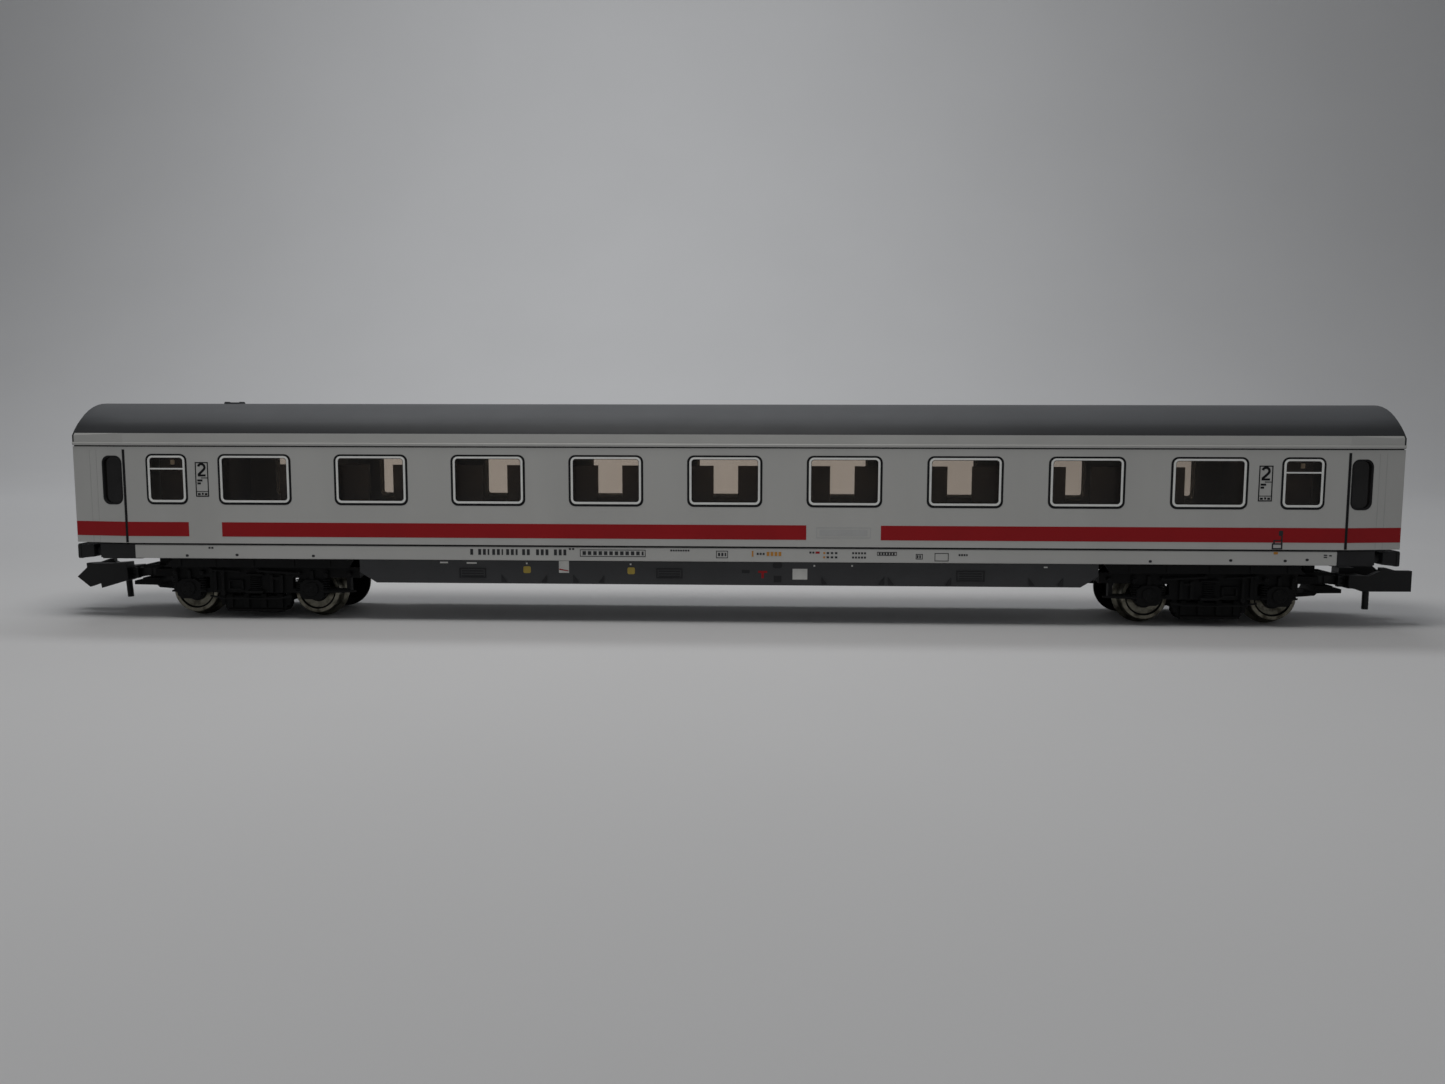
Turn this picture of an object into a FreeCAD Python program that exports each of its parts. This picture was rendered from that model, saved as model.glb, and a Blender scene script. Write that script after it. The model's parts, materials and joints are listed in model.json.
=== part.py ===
"""A model railway passenger coach in 1:160, on two bogies, with hook couplers. Millimetres, +Z up.

The origin is at wheel-flange level, midway along the coach and midway across it. +X runs along the
coach and the corridor is on the -Y side. Parts marked right sit at +X, parts marked left at -X.
"""
import FreeCAD, Part
import math
import os
import re
import Sketcher

doc = FreeCAD.newDocument("passenger_coach")
sheet = doc.addObject("Spreadsheet::Sheet", "Sizes")

SIZES = [
    # body shell
    ("body_straight", 74.1, "half length of the parallel part of the sides"),
    ("body_end", 81.0, "half length over the end walls"),
    ("body_half", 8.83, "half width along the sides"),
    ("body_end_half", 7.85, "half width at the end walls"),
    ("body_low", 9.65, "underside of the shell"),
    ("body_high", 21.55, "top of the shell"),
    ("wall", 0.9, "thickness of the sides"),
    ("window_pitch", 14.445, "spacing of the compartment windows"),
    ("window_half", 4.32, "half width of a compartment window opening"),
    ("window_low", 14.72, "foot of the window openings"),
    ("window_high", 20.53, "head of the window openings"),
    ("window_round", 0.65, "corner radius of the window openings"),
    ("wc_middle", 68.77, "position of the washroom windows"),
    ("wc_half", 2.38, "half width of a washroom window opening"),
    ("door_middle", 75.72, "position of the door windows"),
    ("door_half", 1.32, "half width of a door window opening"),
    ("gangway_half", 2.6, "half width of the end doorway"),
    ("gangway_high", 19.6, "head of the end doorway"),
    # roof
    ("roof_low", 21.7, "underside of the roof moulding"),
    ("roof_shoulder", 23.2, "top of the straight roof edge"),
    ("roof_break_half", 6.5, "half width where crown and shoulder meet"),
    ("roof_break", 24.85, "height where crown and shoulder meet"),
    ("roof_crown", 11.1, "crown radius of the roof"),
    ("roof_side", 4.6, "shoulder radius of the roof"),
    ("roof_half", 8.86, "half width of the roof"),
    ("roof_end", 81.0, "half length of the roof"),
    ("roof_end_half", 7.87, "half width of the roof ends"),
    ("roof_end_shoulder", 22.9, "top of the straight roof edge at the ends"),
    ("roof_end_break_half", 5.9, "half width where the arcs meet at the ends"),
    ("roof_end_radius", 9.3, "arch radius at the ends"),
    ("roof_lip", 6.9, "half width of the tongue inside the body"),
    ("roof_inside", 79.9, "half length of the tongue inside the body"),
    ("vent_middle", -64.0, "position of the roof vent"),
    ("vent_low", 26.7, "seat of the roof vent"),
    ("vent_high", 27.2, "top of the roof vent"),
    ("vent_half", 1.3, "half length of the vent's ring"),
    ("vent_wide", 0.75, "half width of the vent's ring"),
    # chassis
    ("sole_end", 73.25, "half length of the light solebar"),
    ("sole_half", 8.75, "half width over the solebars"),
    ("sole_low", 7.75, "underside of the solebar"),
    ("sole_high", 9.45, "top of the solebar"),
    ("tongue_high", 10.3, "top of the tongue inside the body"),
    ("floor_low", 7.3, "underside of the floor"),
    ("boss_low", 5.85, "foot of the bogie bosses"),
    ("boss_radius", 2.9, "radius of the bogie bosses"),
    ("weight_half", 54.0, "half length of the ballast weight"),
    ("weight_wide", 6.0, "half width of the ballast weight"),
    ("weight_low", 8.3, "underside of the ballast weight"),
    # skirt and underfloor equipment
    ("skirt_end", 45.3, "half length of the skirt"),
    ("skirt_foot_end", 43.2, "half length of its lower edge"),
    ("skirt_half", 8.2, "half width of the skirt"),
    ("skirt_inner", 7.5, "half width inside the skirt"),
    ("skirt_low", 4.8, "lower edge of the skirt"),
    ("skirt_corner", 6.1, "height of the skirt's end corner"),
    # ends
    ("beam_end", 77.9, "half length over the buffer beams"),
    ("beam_half", 8.6, "half width of the step blocks"),
    ("buffer_side", 5.47, "sideways position of the buffers"),
    ("buffer_high", 8.4, "height of the buffers"),
    ("buffer_face", 81.45, "half length over the buffers"),
    ("buffer_plate", 0.35, "thickness of a buffer head"),
    ("buffer_shank", 0.65, "radius of a buffer shank"),
    ("buffer_wide", 1.7, "half width of a buffer head"),
    ("buffer_tall", 0.93, "half height of a buffer head"),
    ("bellows_end", 82.2, "half length over the gangways"),
    # bogies
    ("bogie_middle", 59.4, "distance from the middle to a bogie pivot"),
    ("axle_spacing", 7.8, "distance from pivot to axle"),
    ("axle_high", 3.4, "height of the axles"),
    ("frame_inner", 6.4, "inner face of the side frames"),
    ("frame_outer", 7.3, "outer face of the side frames"),
    ("frame_top", 6.5, "top of the side frames"),
    ("frame_foot", 3.3, "lower edge of the side frames"),
    ("guide_foot", 2.75, "lower end of the axle guides"),
    ("beam_foot", 5.25, "underside of the side frames' upper beam"),
    ("frame_tail", 13.8, "inner end of the side frames, from the pivot"),
    ("frame_nose", 10.0, "outer end of the side frames, from the pivot"),
    ("bolster_low", 4.7, "underside of the bolster"),
    ("bolster_high", 5.65, "top of the bolster"),
    ("pivot_radius", 1.0, "radius of the pivot screw"),
    ("pivot_play", 0.05, "radial clearance round the pivot screw"),
    ("bearing_radius", 0.45, "radius of the axle bearings"),
    ("shoe_half", 3.95, "half length of a track brake"),
    ("shoe_low", 0.75, "underside of the track brakes"),
    ("shoe_high", 2.8, "top of the track brakes"),
    # wheelsets
    ("wheel_inner", 3.7, "half the back-to-back distance"),
    ("wheel_width", 2.2, "width of a wheel"),
    ("flange_radius", 3.4, "flange radius"),
    ("tread_radius", 2.85, "tread radius"),
    ("rim_radius", 2.28, "inner radius of the tyre ring"),
    ("hub_radius", 1.4, "hub radius"),
    ("axle_radius", 0.75, "axle radius"),
    ("journal_radius", 0.4, "journal radius"),
    # couplers, measured from the bogie pivot
    ("swing_axis", 15.8, "distance from bogie pivot to coupler pivot"),
    ("lift_axis", 18.2, "distance from bogie pivot to lift hinge"),
    ("lift_high", 4.97, "height of the lift hinge"),
    ("stub_radius", 0.4, "radius of the coupler pivot stubs"),
    ("hinge_radius", 0.35, "radius of the lift hinge pin"),
    ("coupler_play", 0.05, "radial clearance in the coupler joints"),
    ("coupler_half", 2.3, "half width of a coupler head"),
    ("coupler_front", 26.35, "front of the coupler box"),
    ("hang_cos", 0.99756, "cosine of the left coupler's four-degree droop"),
    ("hang_sin", 0.06976, "sine of the same angle"),
    ("coupler_back", 18.6, "back of the coupler head"),
]
SIZE = {}
for row, (alias, number, note) in enumerate(SIZES, 1):
    sheet.set("A%d" % row, note)
    sheet.set("B%d" % row, str(number))
    sheet.setAlias("B%d" % row, alias)
    SIZE[alias] = number
doc.recompute()
PARTS = []


def value(formula):
    """The number a formula gives: a sum of products of sheet names and plain numbers."""
    total = 0.0
    for sign, term in re.findall(r"([+-]?)([^+-]+)", str(formula).replace(" ", "")):
        product = 1.0
        for mark, factor in re.findall(r"([*/]?)([^*/]+)", term):
            number = SIZE[factor] if factor in SIZE else float(factor)
            product = product / number if mark == "/" else product * number
        total += -product if sign == "-" else product
    return total


def bound(formula):
    """The same formula with its names pointing at the sheet."""
    return re.sub(r"[a-z][a-z_]*", lambda name: "Sizes." + name.group(0), str(formula))


def new_body(label):
    body = doc.addObject("PartDesign::Body", label)
    body.Label = label
    PARTS.append(body)
    return body


def pin_point(sketch, curve, end, x, y):
    """Fix one end of a curve at a place given by two formulas."""
    for kind, axis, formula in (("DistanceX", -2, x), ("DistanceY", -1, y)):
        if value(formula) == 0:
            sketch.addConstraint(Sketcher.Constraint("PointOnObject", curve, end, axis))
            continue
        index = sketch.addConstraint(Sketcher.Constraint(kind, -1, 1, curve, end, value(formula)))
        sketch.setExpression("Constraints[%d]" % index, bound(formula))


def draw_loop(sketch, points, arcs):
    """A closed anticlockwise loop. arcs maps a side's number to its outward arc radius."""
    spots = [FreeCAD.Vector(value(x), value(y), 0) for x, y in points]
    first = sketch.GeometryCount
    for side, start in enumerate(spots):
        stop = spots[(side + 1) % len(spots)]
        if side in arcs:
            radius, chord = value(arcs[side]), stop - start
            sag = radius - math.sqrt(radius ** 2 - chord.Length ** 2 / 4)
            out = FreeCAD.Vector(chord.y, -chord.x, 0).normalize()
            sketch.addGeometry(Part.Arc(start, (start + stop) * 0.5 + out * sag, stop))
            index = sketch.addConstraint(Sketcher.Constraint("Radius", first + side, radius))
            sketch.setExpression("Constraints[%d]" % index, bound(arcs[side]))
        else:
            sketch.addGeometry(Part.LineSegment(start, stop))
    for side, (x, y) in enumerate(points):
        before = first + (side - 1) % len(points)
        sketch.addConstraint(Sketcher.Constraint("Coincident", before, 2, first + side, 1))
        pin_point(sketch, first + side, 1, x, y)


def draw(body, plane, start, loops):
    """A sketch of loops on one of the body's own planes, moved to start along that plane's axis."""
    sketch = body.newObject("Sketcher::SketchObject", "Outline")
    datum = next(f for f in body.Origin.OriginFeatures if f.Role == plane + "_Plane")
    sketch.AttachmentSupport = (datum, [""])
    sketch.MapMode = "FlatFace"
    turn = "-" if plane == "XZ" else ""
    sketch.setExpression("AttachmentOffset.Base.z", "%s(%s)" % (turn, bound(start)))
    for points, arcs in loops:
        draw_loop(sketch, points, arcs)
    return sketch


def prism(body, plane, start, length, loops, cut=False):
    """Loops drawn on XY, XZ or YZ, taken from start in the positive direction, added or cut."""
    kind = "PartDesign::Pocket" if cut else "PartDesign::Pad"
    sketch = draw(body, plane, start, loops)
    feature = body.newObject(kind, "Prism")
    feature.Profile = sketch
    feature.setExpression("Length", bound(length))
    feature.Reversed = (plane == "XZ") != cut
    body.Tip = feature
    return feature


def repeat(body, feature, length, count):
    """The feature repeated along X."""
    rows = body.newObject("PartDesign::LinearPattern", "Repeat")
    rows.Originals = [feature]
    rows.Direction = (feature.Profile[0], ["H_Axis"])
    rows.setExpression("Length", bound(length))
    rows.Occurrences = count
    body.Tip = rows


def turned(body, points, arcs=None):
    """A solid of revolution about Y. points are (radius, y)."""
    sketch = draw(body, "XY", "0", [(points, arcs or {})])
    feature = body.newObject("PartDesign::Revolution", "Turned")
    feature.Profile = sketch
    feature.ReferenceAxis = (sketch, ["V_Axis"])
    body.Tip = feature


def rect(x0, y0, x1, y1):
    return [(x0, y0), (x1, y0), (x1, y1), (x0, y1)], {}


def minus(formula):
    """A formula with every sign turned round."""
    text = formula.replace(" ", "")
    text = text if text[0] in "+-" else "+" + text
    return text.translate(str.maketrans("+-", "-+")).lstrip("+")


def wide(half, y0, y1):
    """A rectangle from -half to +half."""
    return rect(minus(half), y0, half, y1)


def rounded(x0, y0, x1, y1, r):
    """A rectangle with rounded corners."""
    points = [(x0 + "+" + r, y0), (x1 + "-" + r, y0), (x1, y0 + "+" + r), (x1, y1 + "-" + r),
              (x1 + "-" + r, y1), (x0 + "+" + r, y1), (x0, y1 + "-" + r), (x0, y0 + "+" + r)]
    return points, {1: r, 3: r, 5: r, 7: r}


def disc(x, y, r):
    """A full circle as four quarter arcs."""
    points = [(x + "+" + r, y), (x, y + "+" + r), (x + minus(r), y), (x, y + minus(r))]
    return points, {0: r, 1: r, 2: r, 3: r}


def boat(straight, end, half, end_half):
    """The plan outline of the coach: parallel sides that draw in towards both ends."""
    quarter = [(end, minus(end_half)), (end, end_half), (straight, half)]
    return quarter + [(minus(straight), half), (minus(end), end_half), (minus(end), minus(end_half)),
                      (minus(straight), minus(half)), (straight, minus(half))], {}


def place(body, x, side, y="0", z="0"):
    """Move a body to x on the right end, or turn it half round and move it to -x on the left."""
    if side == "left":
        body.Placement.Rotation = FreeCAD.Rotation(FreeCAD.Vector(0, 0, 1), 180)
        x, y = minus(x), minus(y)
    for axis, formula in zip("xyz", (x, y, z)):
        body.setExpression("Placement.Base." + axis, bound(formula))


def make_body_shell():
    body = new_body("body_shell")
    prism(body, "XY", "body_low", "body_high - body_low",
          [boat("body_straight", "body_end", "body_half", "body_end_half")])
    prism(body, "XY", "body_low - 1", "body_high - body_low + 2",
          [boat("body_straight", "body_end - wall", "body_half - wall", "body_end_half - wall")], True)
    first = rounded("-4*window_pitch-window_half", "window_low", "-4*window_pitch+window_half",
                    "window_high", "window_round")
    panes = prism(body, "XZ", "-10", "20", [first], True)
    repeat(body, panes, "8*window_pitch", 9)
    small = []
    for middle, half, low, high, corner in (
            ("wc_middle", "wc_half", "window_low+0.06", "window_high-0.2", "window_round"),
            ("door_middle", "door_half", "window_low-0.22", "window_high-0.18", "0.9")):
        for sign in "+-":
            spot = middle if sign == "+" else "-" + middle
            small.append(rounded(spot + "-" + half, low, spot + "+" + half, high, corner))
    prism(body, "XZ", "-10", "20", small, True)
    prism(body, "YZ", "-body_end-1", "2*body_end+2",
          [wide("gangway_half", "tongue_high", "gangway_high")], True)


def roof_section(body, x, half, shoulder, break_half, crown, side):
    """One cross-section of the roof: straight edge, shoulder arc, crown arc."""
    points = [(minus(half), "roof_low"), (half, "roof_low"), (half, shoulder), (break_half, "roof_break"),
              (minus(break_half), "roof_break"), (minus(half), shoulder)]
    return draw(body, "YZ", x, [(points, {2: side, 3: crown, 4: side})])


def make_roof():
    body = new_body("roof")
    middle = ("roof_half", "roof_shoulder", "roof_break_half", "roof_crown", "roof_side")
    end = ("roof_end_half", "roof_end_shoulder", "roof_end_break_half", "roof_end_radius",
           "roof_end_radius")
    stations = [("-roof_end", end), ("-body_straight", middle), ("body_straight", middle),
                ("roof_end", end)]
    for (x0, shape0), (x1, shape1) in zip(stations, stations[1:]):
        loft = body.newObject("PartDesign::AdditiveLoft", "Roof")
        loft.Profile = roof_section(body, x0, *shape0)
        loft.Sections = [roof_section(body, x1, *shape1)]
        loft.Ruled = True
        body.Tip = loft
    prism(body, "XY", "roof_low-0.4", "0.5", [wide("roof_inside", "-roof_lip", "roof_lip")])
    for half, low, high in (("roof_lip-0.8", "roof_low-1", "roof_shoulder-0.2"),
                            ("roof_break_half-1.9", "roof_shoulder-0.4", "roof_break+0.5")):
        prism(body, "YZ", "-roof_inside+0.8", "2*roof_inside-1.6", [wide(half, low, high)], True)
    prism(body, "XY", "vent_low", "1", [vent_outline("vent_middle")], True)


def vent_outline(middle):
    return rounded(middle + "-vent_half", "-vent_wide", middle + "+vent_half", "vent_wide", "0.7")


def make_roof_vent():
    """An oval ring with a boss at each end, let into the roof."""
    body = new_body("roof_vent")
    prism(body, "XY", "vent_low", "vent_high-vent_low-0.08", [vent_outline("0")])
    prism(body, "XY", "vent_low+0.25", "1", [rounded("-0.8", "-0.4", "0.8", "0.4", "0.35")], True)
    for x in ("-vent_half+0.35", "vent_half-0.35"):
        prism(body, "XY", "vent_low+0.2", "vent_high-vent_low-0.2", [disc(x, "0", "0.32")])
    place(body, "vent_middle", "right")


def make_glazing(label, side):
    """A clear strip behind the sides, with a raised pane in every window opening."""
    body = new_body(label)
    low, high = "window_low-0.9", "window_high+0.5"
    prism(body, "XZ", "-body_half+wall+0.03", "0.4", [wide("body_straight-1.4", low, high)])
    pane = rounded("-4*window_pitch-window_half+0.04", "window_low+0.04",
                   "-4*window_pitch+window_half-0.04", "window_high-0.04", "window_round")
    repeat(body, prism(body, "XZ", "-body_half+0.06", "wall", [pane]), "8*window_pitch", 9)
    ends = [rounded(spot + "-wc_half+0.04", "window_low+0.1", spot + "+wc_half-0.04",
                    "window_high-0.24", "window_round") for spot in ("wc_middle", "-wc_middle")]
    prism(body, "XZ", "-body_half+0.06", "wall", ends)
    place(body, "0", side)


def make_interior():
    """Floor, corridor wall with a doorway at each window, partitions, seats, washrooms."""
    body = new_body("interior")
    prism(body, "XY", "tongue_high", "0.5", [wide("body_straight-1", "-7.3", "7.3")])
    panel = rect("-4*window_pitch+1.52", "tongue_high", "-3*window_pitch-1.52", "19.3")
    repeat(body, prism(body, "XZ", "-4.6", "0.4", [panel]), "7*window_pitch", 8)
    wall = rect("-3.5*window_pitch-0.2", "tongue_high", "-3.5*window_pitch+0.2", "19.1")
    repeat(body, prism(body, "XZ", "-4.3", "11.6", [wall]), "7*window_pitch", 8)
    for low, high, reach in (("tongue_high", "13.6", "2.9"), ("13.5", "17.6", "0.9")):
        bench = rect("-3.5*window_pitch-" + reach, low, "-3.5*window_pitch+" + reach, high)
        repeat(body, prism(body, "XZ", "-3.6", "10.8", [bench]), "7*window_pitch", 8)
    rooms = [rect(a, "-4.6", b, "7.3") for a, b in (("65.4", "71.6"), ("-71.6", "-65.4"))]
    prism(body, "XY", "tongue_high", "10.8", rooms)


def make_ballast():
    body = new_body("ballast_weight")
    prism(body, "XY", "weight_low", "1.6", [wide("weight_half", "-weight_wide", "weight_wide")])


def make_chassis():
    """Floor and solebars in one moulding, with a tongue into the body and two bogie bosses."""
    body = new_body("chassis")
    prism(body, "XY", "sole_low", "sole_high-sole_low", [wide("sole_end", "-sole_half", "sole_half")])
    prism(body, "XY", "floor_low", "0.5", [wide("sole_end", "-4.9", "4.9")])
    prism(body, "XY", "sole_high", "tongue_high-sole_high",
          [boat("body_straight-1.5", "79.8", "body_half-wall-0.1", "body_end_half-wall-0.1")])
    bosses = [disc(x, "0", "boss_radius") for x in ("bogie_middle", "-bogie_middle")]
    prism(body, "XY", "boss_low", "floor_low-boss_low+0.2", bosses)
    screws = [disc(x, "0", "pivot_radius") for x in ("bogie_middle", "-bogie_middle")]
    prism(body, "XY", "boss_low-1", "3.3", screws, True)
    prism(body, "XY", "weight_low", "3", [wide("weight_half+0.1", "-weight_wide-0.1",
                                               "weight_wide+0.1")], True)


def make_skirt():
    """The deep side skirts between the bogies, joined by a plate under the floor."""
    body = new_body("equipment_skirt")
    side = [("-skirt_foot_end", "skirt_low"), ("skirt_foot_end", "skirt_low"),
            ("skirt_end", "skirt_corner"), ("skirt_end", "sole_low"), ("-skirt_end", "sole_low"),
            ("-skirt_end", "skirt_corner")]
    prism(body, "XZ", "-skirt_half", "2*skirt_half", [(side, {})])
    prism(body, "YZ", "-50", "100", [wide("skirt_inner", "skirt_low-1", "floor_low-0.6")], True)
    ends = [rect(a, "-skirt_inner", b, "skirt_inner") for a, b in (("41.5", "47"), ("-47", "-41.5"))]
    prism(body, "XY", "skirt_low", "5", ends, True)
    prism(body, "XY", "floor_low", "1", [wide("47", "-skirt_inner", "skirt_inner")], True)


def make_underfloor():
    body = new_body("equipment_box")
    prism(body, "XY", "skirt_low+0.1", "floor_low-0.7-skirt_low", [rounded("-14", "-6.2", "16", "6.2",
                                                                           "0.8")])
    for side, x in (("left", "-28"), ("right", "30")):
        tank = new_body("air_tank_" + side)
        points = [("0", "-6.2"), ("0.55", "-6.2"), ("0.75", "-6"), ("0.75", "6"), ("0.55", "6.2"),
                  ("0", "6.2")]
        turned(tank, points)
        place(tank, x, "right", z="floor_low-0.6-0.75")


def make_buffer_beam(side):
    """The dark end block with a step on each side, on a plate that reaches out under the buffers."""
    body = new_body("buffer_beam_" + side)
    plan = [("sole_end", "-beam_half"), ("beam_end", "-beam_half+0.35"), ("beam_end", "beam_half-0.35"),
            ("sole_end", "beam_half")]
    prism(body, "XY", "sole_low", "sole_high-sole_low", [(plan, {})])
    ledges = [rect("sole_end+1.3", y0, "beam_end", y1) for y0, y1 in
              (("-beam_half+0.4", "-beam_half+0.8"), ("beam_half-0.8", "beam_half-0.4"))]
    prism(body, "XY", "sole_high-0.2", "body_low-sole_high+0.2", ledges)
    prism(body, "XY", "sole_low-0.25", "0.25", [rect("sole_end", "-7.2", "beam_end+0.4", "7.2")])
    place(body, "0", side)


def make_buffer(side, hand, y):
    """A buffer: shank, flared neck and rectangular head."""
    body = new_body("buffer_%s_%s" % (side, hand))
    low, high = "-buffer_tall", "buffer_tall"
    prism(body, "YZ", "buffer_face-buffer_plate", "buffer_plate",
          [rounded("-buffer_wide", low, "buffer_wide", high, "0.3")])
    neck = body.newObject("PartDesign::AdditiveLoft", "Neck")
    neck.Profile = draw(body, "YZ", "buffer_face-1.85", [wide("1.35", "-0.74", "0.74")])
    neck.Sections = [draw(body, "YZ", "buffer_face-buffer_plate+0.05", [wide("1.62", "-0.88", "0.88")])]
    body.Tip = neck
    prism(body, "YZ", "beam_end", "buffer_face-1.8-beam_end", [disc("0", "0", "buffer_shank")])
    place(body, "0", side, y=y, z="buffer_high")


def make_gangway(side):
    """The rubber tubes round the end doorway."""
    body = new_body("gangway_" + side)
    prism(body, "YZ", "body_end", "bellows_end-body_end",
          [rounded("-3.7", "10.4", "3.7", "21.1", "1")])
    prism(body, "YZ", "body_end-1", "4", [wide("gangway_half", "8", "gangway_high")], True)
    place(body, "0", side)


def make_pivot_screw(side):
    body = new_body("pivot_screw_" + side)
    prism(body, "XY", "bolster_low-0.6", "0.5", [disc("0", "0", "1.7")])
    prism(body, "XY", "bolster_low-0.2", "boss_low+2-bolster_low+0.2", [disc("0", "0", "pivot_radius")])
    prism(body, "XY", "bolster_low-0.7", "0.4", [rect("-1.8", "-0.2", "1.8", "0.2")], True)
    place(body, "bogie_middle", side)


def side_frame_outline():
    """One side frame: beam, deep middle, two axle guides and a tie bar at the inner end."""
    low = [("-frame_tail+1.2", "frame_foot+0.1")]
    for axle in ("-axle_spacing", "axle_spacing"):
        low += [(axle + "-1.8", "frame_foot"), (axle + "-1.4", "guide_foot"),
                (axle + "+1.4", "guide_foot"), (axle + "+1.8", "frame_foot")]
    return low + [("frame_nose", "frame_foot+0.6"), ("frame_nose", "frame_top"),
                  ("-frame_tail", "frame_top"), ("-frame_tail", "beam_foot"),
                  ("-frame_tail+1.2", "beam_foot")]


def side_frame_windows():
    """The openings beside the axle guides, where the wheels show through."""
    spans = (("-frame_tail+1.7", "-axle_spacing-1.7"), ("-axle_spacing+1.7", "-axle_spacing+2.5"),
             ("axle_spacing-2.5", "axle_spacing-1.7"))
    return [rect(x0, "frame_foot+0.55", x1, "beam_foot") for x0, x1 in spans]


def make_bogie_frame(side):
    """Two side frames on a bolster, with a beam that reaches out to the coupler pocket."""
    body = new_body("bogie_frame_" + side)
    thick = "frame_outer-frame_inner"
    prism(body, "XZ", "-frame_outer", thick, [(side_frame_outline(), {})])
    prism(body, "XY", "bolster_low", "bolster_high-bolster_low",
          [wide("3.4", "-frame_inner-0.3", "frame_inner+0.3")])
    prism(body, "XZ", "frame_inner", thick, [(side_frame_outline(), {})])
    prism(body, "XZ", "-frame_outer-1", "2*frame_outer+2", side_frame_windows(), True)
    prism(body, "XY", "bolster_low", "bolster_high-bolster_low", [rect("3", "-2.9", "14.6", "2.9")])
    prism(body, "XY", "frame_top-1.2", "0.9",
          [rect("-frame_tail+0.2", "-frame_inner-0.3", "-frame_tail+1", "frame_inner+0.3")])
    pocket = [("12.2", "bolster_low+0.1"), ("12.2", "2.9"), ("14.7", "3.1"), ("15", "3.4"), ("18", "3.45"),
              ("18", "3.95"), ("16.9", "3.95"), ("16.9", "4.35"), ("14.8", "4.35"), ("14.5", "3.6"),
              ("12.6", "3.35"), ("12.6", "bolster_low+0.1")]
    prism(body, "XZ", "-1.9", "3.8", [(pocket, {})])
    prism(body, "XY", "0", "9", [disc("0", "0", "pivot_radius+pivot_play")], True)
    prism(body, "XY", "3.5", "1.5", [disc("swing_axis", "0", "stub_radius+coupler_play")], True)
    for axle in ("-axle_spacing", "axle_spacing"):
        prism(body, "XZ", "-frame_outer+0.2", "2*frame_outer-0.4",
              [disc(axle, "axle_high", "bearing_radius")], True)
    place(body, "bogie_middle", side)


def make_brakes(side):
    """The two magnetic track brakes, tied across and hung from the bolster."""
    body = new_body("brake_rig_" + side)
    foot = [("-shoe_half+0.4", "shoe_low"), ("shoe_half-0.4", "shoe_low"),
            ("shoe_half", "shoe_low+0.5"), ("shoe_half", "shoe_high"), ("-shoe_half", "shoe_high"),
            ("-shoe_half", "shoe_low+0.5")]
    prism(body, "XZ", "-6.2", "2", [(foot, {})])
    bars = [rect(x0, "2", x1, "2.5") for x0, x1 in (("-2.9", "-2.3"), ("2.3", "2.9"))]
    prism(body, "XZ", "-4.4", "8.8", bars)
    prism(body, "XZ", "4.2", "2", [(foot, {})])
    posts = [rect(x0, y0, x1, y1) for x0, x1 in (("-2.9", "-2.1"), ("2.1", "2.9"))
             for y0, y1 in (("-5.8", "-4.8"), ("4.8", "5.8"))]
    prism(body, "XY", "shoe_high-0.2", "bolster_low-shoe_high+0.2", posts)
    place(body, "bogie_middle", side)


def make_retainer(side):
    """The clip that closes the coupler pocket from above."""
    body = new_body("coupler_clip_" + side)
    prism(body, "XY", "bolster_high", "0.4", [rect("13.2", "-1.9", "16.7", "1.9")])
    prism(body, "XY", "bolster_high+0.3", "1.2", [rounded("13.4", "-1.2", "15", "1.2", "0.3")])
    prism(body, "XY", "bolster_high-1", "2", [disc("swing_axis", "0", "stub_radius+coupler_play")], True)
    place(body, "bogie_middle", side)


def make_wheelset(number, middle, side, offset):
    """A needle-tipped axle and its two wheels."""
    axle = new_body("axle_%d" % number)
    turned(axle, [("0", "-7"), ("journal_radius", "-6.6"), ("journal_radius", "-6.1"),
                  ("axle_radius", "-6.1"), ("axle_radius", "6.1"), ("journal_radius", "6.1"),
                  ("journal_radius", "6.6"), ("0", "7")])
    place(axle, "%s+%s" % (middle, offset), "right", z="axle_high")
    profile = [("axle_radius", "0.15"), ("2.1", "0.15"), ("2.3", "0"), ("flange_radius-0.15", "0"),
               ("flange_radius", "0.15"), ("flange_radius", "0.32"), ("tread_radius+0.12", "0.62"),
               ("tread_radius", "0.8"), ("tread_radius-0.04", "wheel_width-0.08"),
               ("tread_radius-0.12", "wheel_width"), ("rim_radius+0.05", "wheel_width"),
               ("rim_radius", "wheel_width-0.4"), ("rim_radius-0.13", "wheel_width-0.4"),
               ("rim_radius-0.18", "wheel_width-0.12"), ("hub_radius", "wheel_width-0.2"),
               ("hub_radius-0.1", "wheel_width-0.05"), ("axle_radius", "wheel_width-0.05")]
    for hand, turn in (("far", "right"), ("near", "left")):
        wheel = new_body("wheel_%d_%s" % (number, hand))
        turned(wheel, profile)
        spot = "%s+%s" % (middle, offset)
        place(wheel, spot if turn == "right" else minus(spot), turn, y="wheel_inner", z="axle_high")


def make_swing(side):
    """The coupler's carrier: a hub that turns in the pocket and an arm with the lift hinge."""
    body = new_body("coupler_swing_" + side)
    prism(body, "XY", "4.45", "1.1", [disc("swing_axis", "0", "0.85")])
    prism(body, "XY", "4.1", "1.85", [disc("swing_axis", "0", "stub_radius")])
    prism(body, "XY", "4.45", "1.05", [rect("swing_axis", "-0.6", "18.4", "0.6")])
    prism(body, "XZ", "-1.25", "2.5", [disc("lift_axis", "lift_high", "hinge_radius")])
    place(body, "bogie_middle", side)


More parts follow.
